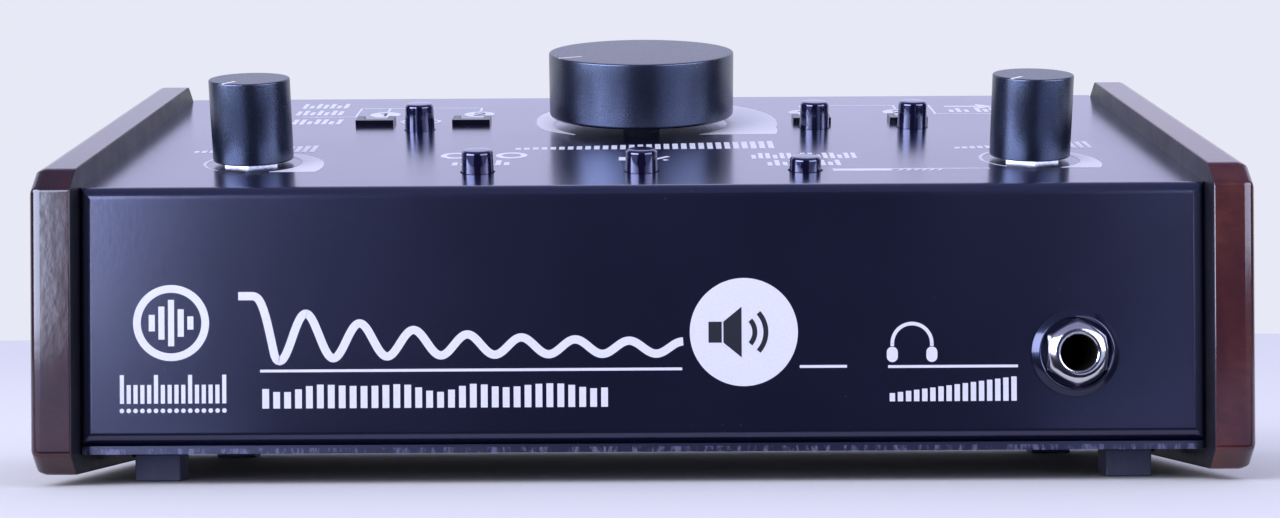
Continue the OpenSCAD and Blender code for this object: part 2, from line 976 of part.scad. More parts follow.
// Three spring contacts inside the headphone socket
module headphone_socket_contacts() {
    contact_w = 1.6;
    contact_low = 3.5;
    contact_high = 4.1;
    color("gold") on_front(headphone_x, headphone_z) for (angle = [60, 180, 300]) {
        rotate([0, 0, angle]) translate([-contact_w / 2, contact_low, -17]) {
            cube([contact_w, contact_high - contact_low, 9]);
        }
    }
}

module input_sockets() {
    color([0.16, 0.16, 0.18]) for (x = input_xs) on_rear(x, rear_socket_z) jack_socket();
}

module output_sockets() {
    color([0.16, 0.16, 0.18]) for (x = output_xs) on_rear(x, rear_socket_z) jack_socket();
}

module rear_socket_nuts() {
    color("silver") for (x = concat(input_xs, output_xs)) {
        on_rear(x, rear_socket_z) hex_nut(jack_nut_af, jack_bush_r + nut_gap, 0, jack_nut_h);
    }
}

// 3.5 mm socket
module aux_socket() {
    body_w = 9;
    bore_end = -12;
    color([0.12, 0.12, 0.13]) on_rear(aux_x, rear_socket_z) difference() {
        union() {
            bar(body_w, body_w, -sheet_t - jack_body_l, -sheet_t);
            rod(aux_bush_r, -sheet_t - eps, aux_out);
        }
        rod(aux_bore_r, bore_end, aux_out + 1);
    }
}

// Barrel inlet for the headphone amplifier's power adaptor
module power_inlet() {
    body_w = 12;
    bore_end = -10;
    color([0.12, 0.12, 0.13]) on_rear(inlet_x, rear_socket_z) {
        difference() {
            union() {
                bar(body_w, body_w, -sheet_t - jack_body_l, -sheet_t);
                rod(inlet_ring_r, -sheet_t - eps, inlet_out);
            }
            rod(inlet_bore_r, bore_end, inlet_out + 1);
        }
        rod(inlet_pin_r, bore_end - eps, -1);
    }
}

chassis_shell();
rear_panel();
bottom_plate();
left_cheek();
right_cheek();
foot_front_left();
foot_front_right();
foot_rear_left();
foot_rear_right();
left_cheek_screws();
right_cheek_screws();
bottom_screws();
main_board();
board_standoffs();
board_screws();
board_parts();
rear_board();
ribbon_cable();
headphone_wires();
volume_knob();
volume_knob_screw();
volume_shaft();
volume_pot();
volume_pot_nut();
volume_pot_washer();
source_knob();
source_knob_screw();
source_shaft();
source_pot();
source_pot_nut();
source_pot_washer();
headphone_knob();
headphone_knob_screw();
headphone_shaft();
headphone_pot();
headphone_pot_nut();
headphone_pot_washer();
mono_cap();
mute_cap();
solo_cap();
input_cap();
output_a_cap();
output_b_cap();
mono_plunger();
mute_plunger();
solo_plunger();
input_plunger();
output_a_plunger();
output_b_plunger();
switch_bodies();
lamp_bezels();
lamp_lenses();
headphone_socket();
headphone_socket_nut();
headphone_socket_bezel();
headphone_socket_contacts();
input_sockets();
output_sockets();
rear_socket_nuts();
aux_socket();
power_inlet();
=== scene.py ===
import json
import math
import bmesh
import bpy
from mathutils import Matrix, Vector


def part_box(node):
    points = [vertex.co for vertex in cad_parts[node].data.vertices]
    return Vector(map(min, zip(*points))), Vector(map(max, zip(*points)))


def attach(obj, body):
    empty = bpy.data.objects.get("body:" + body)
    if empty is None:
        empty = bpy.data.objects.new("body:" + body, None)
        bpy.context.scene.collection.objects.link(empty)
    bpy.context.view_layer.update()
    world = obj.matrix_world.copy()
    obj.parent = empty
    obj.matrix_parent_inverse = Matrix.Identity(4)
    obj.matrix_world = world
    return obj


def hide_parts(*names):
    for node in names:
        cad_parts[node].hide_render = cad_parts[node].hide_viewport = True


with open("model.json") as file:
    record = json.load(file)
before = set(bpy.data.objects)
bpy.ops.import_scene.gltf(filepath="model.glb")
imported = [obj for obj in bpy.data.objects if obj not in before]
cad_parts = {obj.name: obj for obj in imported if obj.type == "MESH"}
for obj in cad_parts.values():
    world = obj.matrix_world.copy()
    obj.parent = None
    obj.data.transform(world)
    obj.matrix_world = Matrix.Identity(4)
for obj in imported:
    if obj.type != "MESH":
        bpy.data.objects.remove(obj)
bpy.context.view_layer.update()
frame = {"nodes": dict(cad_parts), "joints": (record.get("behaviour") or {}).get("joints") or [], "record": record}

MM = 0.001
NODES = frame["nodes"]
JOINTS = {j["name"]: j for j in frame["joints"]}
X_AXIS = Vector((1, 0, 0))

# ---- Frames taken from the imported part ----

NORMAL = Vector(JOINTS["volume_turn"]["axis"]).normalized()
UPHILL = Vector((0, NORMAL.z, -NORMAL.y))
RISE = UPHILL.z / UPHILL.y
VOLUME = Vector(JOINTS["volume_turn"]["pos_m"])
SOURCE = Vector(JOINTS["source_level_turn"]["pos_m"])
PHONES = Vector(JOINTS["headphone_level_turn"]["pos_m"])
PLATE_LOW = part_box("bottom_plate")[0]
FRONT_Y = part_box("chassis_shell")[0].y
# Where the planes of the front panel and the sloped panel meet
FRONT_EDGE = Vector((0, FRONT_Y, VOLUME.z - (VOLUME.y - FRONT_Y) * RISE))


def panel_matrix(point, turn=0.0):
    """Axes at a point of the panel: x across, y up the slope, z out, turned clockwise by degrees."""
    base = Matrix((X_AXIS, UPHILL, NORMAL)).transposed().to_4x4()
    return Matrix.Translation(point) @ base @ Matrix.Rotation(math.radians(-turn), 4, "Z")


def front_matrix(x, z):
    """Axes on the front panel: x across, y up, z out. x is from the middle, z from the plate's underside."""
    base = Matrix((X_AXIS, Vector((0, 0, 1)), Vector((0, -1, 0)))).transposed().to_4x4()
    return Matrix.Translation((x * MM, FRONT_Y, PLATE_LOW.z + z * MM)) @ base


# ---- Materials ----

def material(name):
    """An empty node material: the material, its shader, and helpers that add and link nodes."""
    m = bpy.data.materials.new(name)
    m.use_nodes = True
    tree = m.node_tree
    shader = tree.nodes["Principled BSDF"]

    def add(kind, inputs=(), **settings):
        node = tree.nodes.new(kind)
        for key, value in settings.items():
            setattr(node, key, value)
        for key, value in dict(inputs).items():
            if isinstance(value, bpy.types.NodeSocket):
                tree.links.new(value, node.inputs[key])
            else:
                node.inputs[key].default_value = value
        return node

    return m, shader, add, tree.links.new


SOCKETS = {
    "color": "Base Color", "metal": "Metallic", "rough": "Roughness", "ior": "IOR",
    "spec": "Specular IOR Level", "coat": "Coat Weight", "coat_rough": "Coat Roughness",
    "coat_ior": "Coat IOR", "coat_tint": "Coat Tint", "tint": "Specular Tint",
    "trans": "Transmission Weight",
}


def setup(shader, **values):
    """Sets values that are the same all over; a colour is three numbers."""
    for key, value in values.items():
        shader.inputs[SOCKETS[key]].default_value = (*value, 1) if hasattr(value, "__len__") else value


def ramp(add, fac, *stops):
    """Colour ramp over fac; a stop is its place and a grey value or a colour."""
    node = add("ShaderNodeValToRGB", {"Fac": fac})
    elements = node.color_ramp.elements
    while len(elements) < len(stops):
        elements.new(0.5)
    for element, (place, colour) in zip(elements, stops):
        element.position = place
        element.color = (*(colour if hasattr(colour, "__len__") else [colour] * 3), 1)
    return node.outputs["Color"]


def mix(add, fac, a, b):
    """a where fac is 0, b where it is 1."""
    node = add("ShaderNodeMix", {0: fac}, data_type="RGBA")
    for index, value in ((6, a), (7, b)):
        if isinstance(value, bpy.types.NodeSocket):
            node.id_data.links.new(value, node.inputs[index])
        else:
            node.inputs[index].default_value = (*value, 1)
    return node.outputs[2]


def maths(add, operation, a, b=0.0):
    return add("ShaderNodeMath", {0: a, 1: b}, operation=operation).outputs[0]


def noise(add, vector, scale, detail=3.0, rough=0.5):
    inputs = {"Vector": vector, "Scale": scale, "Detail": detail, "Roughness": rough}
    return add("ShaderNodeTexNoise", inputs).outputs["Fac"]


def bump(add, height, strength, distance, under=None):
    inputs = {"Height": height, "Strength": strength, "Distance": distance * MM}
    if under is not None:
        inputs["Normal"] = under
    return add("ShaderNodeBump", inputs).outputs["Normal"]


def in_mm(add, scale=(1, 1, 1)):
    """The object's own coordinates, in mm, stretched."""
    where = add("ShaderNodeTexCoord").outputs["Object"]
    inputs = {"Vector": where, "Scale": tuple(s / MM for s in scale)}
    return add("ShaderNodeMapping", inputs).outputs["Vector"]


def shades(colour, darker, lighter):
    """The same colour twice, darker and lighter."""
    return [c * darker for c in colour], [c * lighter for c in colour]


def powder_coat(name, colour, rough, worn_edge=None):
    """Satin powder coat: orange peel, slightly uneven gloss and rare specks of dust.

    worn_edge is a height in mm under which it is chipped.
    """
    m, shader, add, link = material(name)
    setup(shader, spec=0.7, tint=(0.62, 0.66, 1.0))
    setup(shader, coat=1.0, coat_rough=rough - 0.02, coat_ior=1.5, coat_tint=(0.84, 0.84, 1.0))
    where = in_mm(add)
    peel = noise(add, where, 1.25, 1.0, 0.5)
    fine = noise(add, where, 4.0, 2.0)
    cloud = noise(add, where, 0.03, 3.0)
    link(ramp(add, cloud, (0.3, rough - 0.02), (0.7, rough + 0.03)), shader.inputs["Roughness"])
    darker, lighter = shades(colour, 0.85, 1.15)
    base = ramp(add, fine, (0.35, darker), (0.65, lighter))
    specks = add("ShaderNodeTexVoronoi", {"Vector": where, "Scale": 0.4}).outputs["Distance"]
    rare = ramp(add, noise(add, where, 0.06, 0.0), (0.55, 0.0), (0.62, 0.5))
    dust = maths(add, "MULTIPLY", ramp(add, specks, (0.0, 1.0), (0.045, 0.0)), rare)
    base = mix(add, dust, base, (0.4, 0.4, 0.5))
    if worn_edge is not None:
        height = add("ShaderNodeSeparateXYZ", {0: where}).outputs["Z"]
        low = maths(add, "LESS_THAN", height, worn_edge)
        chips = ramp(add, noise(add, in_mm(add, (1, 1, 0.35)), 0.9, 4.0, 0.7), (0.5, 0.0), (0.6, 1.0))
        base = mix(add, maths(add, "MULTIPLY", low, chips), base, (0.13, 0.13, 0.19))
    link(base, shader.inputs["Base Color"])
    skin = bump(add, fine, 0.20, 0.02, bump(add, peel, 0.14, 0.04))
    link(skin, shader.inputs["Normal"])
    link(skin, shader.inputs["Coat Normal"])
    return m


def lacquered_wood(name, dark, middle, light, coat_rough):
    """Stained hardwood under gloss lacquer, with soft figure and fine pores along the depth of the case."""
    m, shader, add, link = material(name)
    setup(shader, spec=0.1, coat=1.0, coat_rough=coat_rough, coat_ior=1.55, coat_tint=(0.93, 0.92, 1.0))
    pores = noise(add, in_mm(add, (3.6, 0.12, 3.6)), 1.0, 4.0, 0.65)
    figure = noise(add, in_mm(add, (1.0, 0.25, 0.5)), 0.085, 3.0, 0.5)
    streaks = noise(add, in_mm(add, (0.5, 0.02, 1.0)), 0.7, 3.0, 0.6)
    body = ramp(add, figure, (0.32, dark), (0.5, middle), (0.68, light))
    body = mix(add, ramp(add, streaks, (0.35, 0.0), (0.75, 0.55)), body, dark)
    body = mix(add, ramp(add, pores, (0.60, 0.0), (0.72, 0.6)), body, [c * 0.3 for c in dark])
    link(body, shader.inputs["Base Color"])
    link(ramp(add, pores, (0.4, 0.36), (0.7, 0.5)), shader.inputs["Roughness"])
    dimples = noise(add, in_mm(add, (1.0, 0.6, 0.6)), 0.5, 2.0)
    link(bump(add, dimples, 0.16, 0.06), shader.inputs["Coat Normal"])
    link(bump(add, pores, 0.12, 0.04), shader.inputs["Normal"])
    return m


TURNING_PITCH = 0.22


def blasted_metal(name, colour, rough):
    """Bead-blasted black anodised aluminium, with turning marks on the faces across z."""
    m, shader, add, link = material(name)
    setup(shader, spec=1.0, ior=1.62, tint=(0.62, 0.72, 1.0))
    where = in_mm(add)
    grains = noise(add, where, 6.5, 2.0, 0.7)
    split = add("ShaderNodeSeparateXYZ", {0: where})
    squares = [maths(add, "POWER", split.outputs[axis], 2.0) for axis in ("X", "Y")]
    radius = maths(add, "SQRT", maths(add, "ADD", *squares))
    turned = maths(add, "SINE", maths(add, "MULTIPLY", radius, 2 * math.pi / TURNING_PITCH))
    facing = add("ShaderNodeTexCoord").outputs["Normal"]
    along_z = maths(add, "ABSOLUTE", add("ShaderNodeSeparateXYZ", {0: facing}).outputs["Z"])
    across = ramp(add, along_z, (0.9, 0.0), (0.97, 1.0))
    link(ramp(add, grains, (0.3, rough - 0.05), (0.7, rough + 0.07)), shader.inputs["Roughness"])
    darker, lighter = shades(colour, 0.75, 1.5)
    link(ramp(add, grains, (0.35, darker), (0.7, lighter)), shader.inputs["Base Color"])
    height = maths(add, "MULTIPLY", turned, across)
    link(bump(add, height, 0.04, 0.01, bump(add, grains, 0.5, 0.035)), shader.inputs["Normal"])
    return m


def moulded(name, colour, rough, spec=0.5, texture=2.5, depth=0.02, coat=0.0, tint=(1, 1, 1)):
    """Moulded plastic or rubber with a fine skin: texture is its fineness, depth its height in mm."""
    m, shader, add, link = material(name)
    setup(shader, spec=spec, coat=coat, coat_rough=0.05, tint=tint, coat_tint=tint)
    where = in_mm(add)
    skin = noise(add, where, texture, 3.0, 0.6)
    darker, lighter = shades(colour, 0.85, 1.15)
    link(ramp(add, skin, (0.3, darker), (0.7, lighter)), shader.inputs["Base Color"])
    cloud = noise(add, where, 0.25)
    link(ramp(add, cloud, (0.3, rough * 0.9), (0.7, rough * 1.1)), shader.inputs["Roughness"])
    link(bump(add, skin, 0.25, depth), shader.inputs["Normal"])
    return m


def metal(name, colour, rough, scratch=0.12):
    """Bare or plated metal with fine handling marks."""
    m, shader, add, link = material(name)
    setup(shader, metal=1.0)
    marks = noise(add, in_mm(add, (0.5, 0.5, 5.0)), 2.0, 4.0, 0.7)
    link(ramp(add, marks, (0.3, [c * 0.88 for c in colour]), (0.7, colour)), shader.inputs["Base Color"])
    smooth, worn = max(0.03, rough - scratch / 2), rough + scratch / 2
    link(ramp(add, marks, (0.3, smooth), (0.7, worn)), shader.inputs["Roughness"])
    link(bump(add, marks, 0.06, 0.02), shader.inputs["Normal"])
    return m


def ink(name, colour):
    """Screen-printed ink, slightly uneven in cover."""
    m, shader, add, link = material(name)
    setup(shader, rough=0.42, spec=0.45)
    cover = noise(add, in_mm(add), 2.2, 3.0, 0.6)
    link(ramp(add, cover, (0.25, [c * 0.93 for c in colour]), (0.6, colour)), shader.inputs["Base Color"])
    link(bump(add, cover, 0.1, 0.02), shader.inputs["Normal"])
    return m


def laminate(name):
    """Green solder mask with faint tracks."""
    m, shader, add, link = material(name)
    setup(shader, rough=0.35, spec=0.5)
    inputs = {
        "Vector": in_mm(add), "Scale": 0.12, "Mortar Size": 0.03, "Mortar": (0.03, 0.22, 0.09, 1),
        "Color1": (0.02, 0.15, 0.06, 1), "Color2": (0.015, 0.12, 0.05, 1),
    }
    link(add("ShaderNodeTexBrick", inputs).outputs["Color"], shader.inputs["Base Color"])
    return m


def smoked(name):
    """Smoked clear plastic of the light guides."""
    m, shader, add, link = material(name)
    setup(shader, ior=1.49, trans=0.35, spec=0.5)
    swirl = noise(add, in_mm(add), 0.6, 2.0)
    tone = ramp(add, swirl, (0.3, (0.10, 0.10, 0.13)), (0.7, (0.14, 0.14, 0.18)))
    link(tone, shader.inputs["Base Color"])
    link(ramp(add, swirl, (0.3, 0.18), (0.7, 0.26)), shader.inputs["Roughness"])
    return m


PAINT = (0.0052, 0.0058, 0.0205)
VIOLET_GLOSS = (0.76, 0.76, 1.0)
BLUE_GLOSS = (0.66, 0.70, 1.0)
RIGHT_WOOD = [(0.036, 0.0030, 0.0060), (0.072, 0.0090, 0.0100), (0.115, 0.0240, 0.0150)]
# The left cheek's wood is a darker copy of the right cheek's wood: painted shade for the shadow that falls on the
# left cheek
LEFT_WOOD_PAINTED_SHADE = [(0.016, 0.0018, 0.0050), (0.032, 0.0038, 0.0085), (0.052, 0.0085, 0.0105)]
MATERIALS = {
    "case_steel": powder_coat("case_paint", PAINT, 0.21),
    "cheek_wood": lacquered_wood("cheek_lacquer", *RIGHT_WOOD, 0.10),
    "knob_metal": blasted_metal("knob_anodised", (0.0028, 0.0040, 0.0130), 0.27),
    "cap_plastic": moulded("cap_gloss", (0.0075, 0.0070, 0.0260), 0.13, 0.7, 1.2, 0.004, 1.0, VIOLET_GLOSS),
    "hood_plastic": moulded("hood_gloss", (0.005, 0.005, 0.012), 0.22, 0.5, 1.8, 0.006, 0.0, VIOLET_GLOSS),
    "bezel_plastic": moulded("bezel_gloss", (0.005, 0.005, 0.014), 0.24, 0.6, 1.5, 0.006, 0.6, BLUE_GLOSS),
    "foot_rubber": moulded("foot_rubber", (0.045, 0.050, 0.115), 0.62, 0.35, 3.0, 0.04),
    "black_plastic": moulded("socket_plastic", (0.010, 0.010, 0.012), 0.45, 0.4, 2.0, 0.02),
    "plunger_plastic": moulded("plunger_plastic", (0.62, 0.60, 0.54), 0.45, 0.4, 2.0, 0.01),
    "wire_insulation": moulded("wire_insulation", (0.22, 0.22, 0.25), 0.5, 0.4, 1.0, 0.03),
    "lens_plastic": smoked("lens_smoked"),
    "board_laminate": laminate("board_laminate"),
    "brass": metal("brass", (0.72, 0.52, 0.22), 0.28),
    "chrome": metal("chrome", (0.90, 0.87, 0.86), 0.15, 0.05),
    "dark_screw": metal("dark_screw", (0.10, 0.10, 0.11), 0.4),
    "plain_steel": metal("plain_steel", (0.62, 0.62, 0.63), 0.22),
}
PLATE_PAINT = powder_coat("plate_paint", [c * 1.3 for c in PAINT], 0.3, PLATE_LOW.z / MM + 1.0)
# Lacquered wood for the left cheek, made from the darker copy of the wood: painted shade
LEFT_LACQUER_PAINTED_SHADE = lacquered_wood("cheek_lacquer_left_painted_shade", *LEFT_WOOD_PAINTED_SHADE, 0.10)
CHEEK_INNER = moulded("cheek_inner_face", (0.0110, 0.0095, 0.0190), 0.42, 0.55, 1.2, 0.03)
WHITE_INK = ink("white_ink", (0.78, 0.79, 0.88))
BLACK_INK = ink("black_ink", [c * 0.9 for c in PAINT])
POINTER_FILL = ink("pointer_fill", (0.95, 0.95, 0.97))
PAD = moulded("adhesive_pad", (0.05, 0.05, 0.06), 0.7, 0.3)

for entry in frame["record"]["subparts"]:
    node = NODES[entry["node"]]
    for index in range(len(node.data.materials)):
        node.data.materials[index] = MATERIALS[entry["material_slot"]]
NODES["bottom_plate"].data.materials[0] = PLATE_PAINT

# ---- Mesh helpers ----

SMOOTH_UP_TO = 35


def to_mesh(name, bm):
    bmesh.ops.recalc_face_normals(bm, faces=bm.faces)
    mesh = bpy.data.meshes.new(name)
    bm.to_mesh(mesh)
    bm.free()
    return mesh


def smooth_shade(mesh, angle=SMOOTH_UP_TO):
    """Smooth faces, with sharp edges where they meet at more than the angle in degrees."""
    for face in mesh.polygons:
        face.use_smooth = True
    mesh.set_sharp_from_angle(angle=math.radians(angle))


def finish_mesh(name, bm, matrix, finish, body, smooth=SMOOTH_UP_TO):
    """Makes an object from a bmesh in the matrix's own axes, in metres, and lets it ride on a body."""
    mesh = to_mesh(name, bm)
    smooth_shade(mesh, smooth)
    for m in finish if isinstance(finish, list) else [finish]:
        mesh.materials.append(m)
    obj = bpy.data.objects.new(name, mesh)
    bpy.context.scene.collection.objects.link(obj)
    obj.matrix_world = matrix
    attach(obj, body)
    return obj


def arc(cx, cy, radius, start, end, steps):
    """Points of an arc, angles in degrees."""
    turns = [math.radians(start + (end - start) * i / steps) for i in range(steps + 1)]
    return [(cx + radius * math.cos(t), cy + radius * math.sin(t)) for t in turns]


def lathe(profile, segments, closed=False):
    """Turns a profile of (radius, height) points in mm about z. Radius 0 closes it on the axis."""
    bm = bmesh.new()
    rings = []
    for r, z in profile:
        turns = [2 * math.pi * i / segments for i in range(segments if r > 0 else 1)]
        places = [(r * MM * math.cos(t), r * MM * math.sin(t), z * MM) for t in turns]
        rings.append([bm.verts.new(place) for place in places])
    for a, b in zip(rings, rings[1:] + rings[:1] if closed else rings[1:]):
        for i in range(segments):
            j = (i + 1) % segments
            corners = [a[i % len(a)], a[j % len(a)], b[j % len(b)], b[i % len(b)]]
            bm.faces.new(list(dict.fromkeys(corners)))
    return bm


def prism(outline, low, high):
    """Extrudes an outline of (x, y) points in mm between two heights."""
    bm = bmesh.new()
    under = [bm.verts.new((x * MM, y * MM, low * MM)) for x, y in outline]
    over = [bm.verts.new((x * MM, y * MM, high * MM)) for x, y in outline]
    bm.faces.new(under[::-1])
    bm.faces.new(over)
    for i in range(len(outline)):
        j = (i + 1) % len(outline)
        bm.faces.new((under[i], under[j], over[j], over[i]))
    return bm


def join(target, other):
    """Adds another bmesh to target."""
    temp = bpy.data.meshes.new("temp")
    other.to_mesh(temp)
    other.free()
    target.from_mesh(temp)
    bpy.data.meshes.remove(temp)


def rectangle(x0, x1, y0, y1):
    return [(x0, y0), (x1, y0), (x1, y1), (x0, y1)]


def block(w, d, low, high):
    return prism(rectangle(-w / 2, w / 2, -d / 2, d / 2), low, high)


def bevel(obj, width, segments, weights=False):
    """Rounds the edges over by width in mm: all the sharp ones, or by their weights."""
    modifier = obj.modifiers.new("bevel", "BEVEL")
    modifier.width = width * MM
    modifier.segments = segments
    modifier.limit_method = "WEIGHT" if weights else "ANGLE"
    modifier.angle_limit = math.radians(30)
    modifier.harden_normals = True


def cut(obj, cutter_bm, matrix):
    """Takes a shape out of an object for good."""
    mesh = to_mesh("cutter", cutter_bm)
    cutter = bpy.data.objects.new("cutter", mesh)
    bpy.context.scene.collection.objects.link(cutter)
    cutter.matrix_world = matrix
    modifier = obj.modifiers.new("cut", "BOOLEAN")
    modifier.object = cutter
    modifier.solver = "EXACT"
    bpy.context.view_layer.update()
    result = bpy.data.meshes.new_from_object(obj.evaluated_get(bpy.context.evaluated_depsgraph_get()))
    obj.modifiers.remove(modifier)
    old = obj.data
    obj.data = result
    bpy.data.objects.remove(cutter)
    bpy.data.meshes.remove(mesh)
    bpy.data.meshes.remove(old)
    smooth_shade(result)


# ---- Wooden cheeks ----

CHEEK_RISE = 3.8
CHEEK_BEVEL = 3.8
CHEEK_REAR_BEVEL = 7.1
CHEEK_EDGE = 2.3
# Share of the edge rounding, for edges of the outer face, across the thickness and of the inner face
OUTER_SHARE, CROSS_SHARE, INNER_SHARE = 1.0, 0.32, 0.14


def cheek(node, side):
    """Wooden cheek with bevelled corners; side is -1 for the left one and 1 for the right one."""
    low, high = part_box(node)
    crest = FRONT_EDGE.z / MM + CHEEK_RISE / UPHILL.y
    front, rear, foot = low.y / MM, high.y / MM, low.z / MM
    edge = FRONT_Y / MM
    bevel_y = front + CHEEK_BEVEL + 0.2
    rear_bevel_y = rear - CHEEK_REAR_BEVEL
    top_at = lambda y: crest + (y - edge) * RISE
    outline = [
        (front, foot + CHEEK_BEVEL),
        (front, top_at(bevel_y) - CHEEK_BEVEL),
        (bevel_y, top_at(bevel_y)),
        (rear_bevel_y, top_at(rear_bevel_y)),
        (rear, top_at(rear_bevel_y) - CHEEK_REAR_BEVEL * math.tan(math.radians(45) - math.atan(RISE))),
        (rear, foot + CHEEK_BEVEL),
        (rear - CHEEK_BEVEL, foot),
        (front + CHEEK_BEVEL, foot),
    ]
    inner, outer = (low.x, high.x) if side > 0 else (high.x, low.x)
    bm = bmesh.new()
    rings = [[bm.verts.new((x, y * MM, z * MM)) for y, z in outline] for x in (inner, outer)]
    bm.faces.new(rings[0]).material_index = 1
    bm.faces.new(rings[1][::-1])
    weight = bm.edges.layers.float.new("bevel_weight_edge")
    count = len(outline)
    for i in range(count):
        j = (i + 1) % count
        bm.faces.new((rings[0][i], rings[0][j], rings[1][j], rings[1][i]))
    for e in bm.edges:
        ends = [v.co.x for v in e.verts]
        if all(abs(x - outer) < 1e-6 for x in ends):
            e[weight] = OUTER_SHARE
        elif all(abs(x - inner) < 1e-6 for x in ends):
            e[weight] = INNER_SHARE
        else:
            e[weight] = CROSS_SHARE
    # The left cheek gets the darker copy of the wood, which is painted shade
    wood = MATERIALS["cheek_wood"] if side > 0 else LEFT_LACQUER_PAINTED_SHADE
    finishes = [wood, CHEEK_INNER]
    obj = finish_mesh(node + "_wood", bm, Matrix.Identity(4), finishes, "case")
    bevel(obj, CHEEK_EDGE, 5, weights=True)
    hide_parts(node)


cheek("left_cheek", -1)
cheek("right_cheek", 1)

# ---- Feet ----

PAD_T = 0.5
PAD_INSET = 0.4
FOOT_EDGE = 0.35

for corner in ("front_left", "front_right", "rear_left", "rear_right"):
    low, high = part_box("foot_" + corner)
    size = (high - low) / MM
    centre = (low + high) / 2
    place = Matrix.Translation((centre.x, centre.y, low.z))
    rubber = block(size.x, size.y, 0, size.z - PAD_T)
    obj = finish_mesh("foot_block_" + corner, rubber, place, MATERIALS["foot_rubber"], "case")
    bevel(obj, FOOT_EDGE, 3)
    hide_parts("foot_" + corner)
    pad = block(size.x - 2 * PAD_INSET, size.y - 2 * PAD_INSET, size.z - PAD_T, size.z)
    finish_mesh("foot_pad_" + corner, pad, place, PAD, "case")

# ---- Knobs ----

SMALL = {
    "r": 7.65, "gap": 0.8, "top": 16.4, "recess": 6.4, "recess_top": 4.8,
    "bore": 3.03, "bore_top": 13.4, "line": 3.9, "edge": 0.3, "foot": 0.3,
}
LARGE = {
    "r": 19.4, "gap": 2.0, "top": 15.3, "recess": 15.5, "recess_top": 7.0,
    "bore": 3.03, "bore_top": 12.8, "line": 13.9, "edge": 0.35, "foot": 0.7,
}
GROOVE_W = 0.75
GROOVE_D = 0.12
FILL_BELOW_TOP = 0.02
SCREW_HOLE_R = 1.5


def knob(name, node, size, centre, turn, body):
    """Turned knob with a hollow underside, a grub-screw hole and an inlaid pointer line."""
    r, gap, top, edge, foot, line = [size[key] for key in ("r", "gap", "top", "edge", "foot", "line")]
    profile = [(0, top)] + [(r * k, top) for k in (0.25, 0.5, 0.75, 0.9)]
    profile += arc(r - edge, top - edge, edge, 90, 0, 5)
    profile += [(r, gap + foot + (top - edge - gap - foot) * k) for k in (0.66, 0.33)]
    profile += arc(r - foot, gap + foot, foot, 0, -90, 4)
    profile += [(size["recess"], gap), (size["recess"], size["recess_top"])]
    profile += [(size["bore"], size["recess_top"]), (size["bore"], size["bore_top"]), (0, size["bore_top"])]
    matrix = panel_matrix(centre, turn)
    metal_finish = MATERIALS["knob_metal"]
    obj = finish_mesh(name, lathe(profile, 144), panel_matrix(centre), metal_finish, body)
    groove = rectangle(-GROOVE_W / 2, GROOVE_W / 2, line, r + 1)
    cut(obj, prism(groove, top - GROOVE_D, top + 1), matrix)
    hole_z = (size["recess_top"] + size["bore_top"]) / 2
    drill = lathe([(0, 0), (SCREW_HOLE_R, 0), (SCREW_HOLE_R, r + 1), (0, r + 1)], 32)
    sideways = Matrix.Translation((0, 0, hole_z * MM)) @ Matrix.Rotation(math.radians(90), 4, "X")
    cut(obj, drill, matrix @ sideways)
    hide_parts(node)
    filled = rectangle(-GROOVE_W / 2, GROOVE_W / 2, line, r - edge * 0.7)
    fill = prism(filled, top - GROOVE_D, top - FILL_BELOW_TOP)
    finish_mesh(name + "_pointer", fill, matrix, POINTER_FILL, body)


# The last number is the pointer's turn at rest, clockwise from straight up the panel
knob("volume_knob_turned", "volume_knob", LARGE, VOLUME, -118, "volume")
knob("source_knob_turned", "source_knob", SMALL, SOURCE, -150, "source_level")
knob("headphone_knob_turned", "headphone_knob", SMALL, PHONES, -138, "headphone_level")

# ---- Button caps ----

CAP_BASE_R = 3.15
CAP_TOP_R = 2.95
CAP_RIM = 0.7
CAP_L = 8.2
STEM_W = 3.0
CAP_ROOF = 1.2
# How far the caps stand out of the panel at rest, and how much lower the latched one is
FRONT_OUT = 4.3
REAR_OUT = 5.6
LATCHED = 1.56
OUT = {
    "mono": FRONT_OUT, "mute": FRONT_OUT, "solo": FRONT_OUT - LATCHED,
    "input": REAR_OUT, "output_a": REAR_OUT, "output_b": REAR_OUT,
}


def cap(button, out):
    """Tapered cap with a softly rounded, slightly crowned top and a square socket for its stem."""
    low = out - CAP_L
    side_top = out - CAP_RIM - 0.1
    profile = [(0, out), (CAP_TOP_R * 0.4, out - 0.015), (CAP_TOP_R * 0.68, out - 0.05)]
    profile += [(x, z - 0.08) for x, z in arc(CAP_TOP_R - CAP_RIM, out - CAP_RIM, CAP_RIM, 84, 4, 7)]
    profile += [
        (CAP_TOP_R + (CAP_BASE_R - CAP_TOP_R) * k, side_top + (low - side_top) * k) for k in (0.3, 0.65, 1.0)
    ]
    profile += [(0, low)]
    middle = sum(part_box(button + "_cap"), Vector()) / 2
    matrix = panel_matrix(middle - NORMAL * (middle - FRONT_EDGE).dot(NORMAL))
    name, body, finish = button + "_cap_moulded", button + "_button", MATERIALS["cap_plastic"]
    obj = finish_mesh(name, lathe(profile, 64), matrix, finish, body, smooth=50)
    cut(obj, block(STEM_W, STEM_W, low - 1, out - CAP_ROOF), matrix)
    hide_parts(button + "_cap")


for button, out in OUT.items():
    cap(button, out)

# ---- Headphone socket ----

socket_middle = sum(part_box("headphone_socket_bezel"), Vector()) / 2
SOCKET = front_matrix(socket_middle.x / MM, (socket_middle.z - PLATE_LOW.z) / MM)

